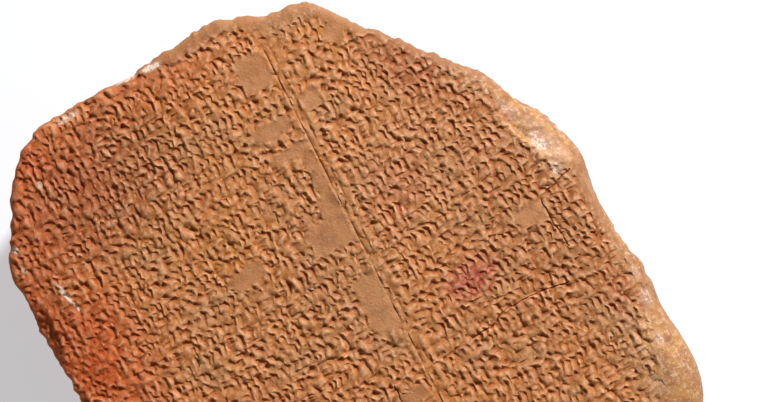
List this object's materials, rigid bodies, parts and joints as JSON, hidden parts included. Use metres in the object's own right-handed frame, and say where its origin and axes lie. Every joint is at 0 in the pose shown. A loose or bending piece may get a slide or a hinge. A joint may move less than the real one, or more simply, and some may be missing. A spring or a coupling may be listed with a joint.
{
  "type": "cuneiform tablet",
  "caption": "Broken piece of a thick clay tablet, its face covered in rows of small wedge-shaped strokes in ruled columns.",
  "frame": {"origin": "under the middle of the tablet's box, on the surface that it lies on", "axes": "+X along the rows of strokes, +Y to the head of the columns, +Z out of the written face"},
  "size_m": [0.124, 0.139, 0.0292],
  "materials": {
    "fired_clay": "matte"
  },
  "bodies": {
    "root": {"tablet": "fired_clay"}
  },
  "joints": []
}
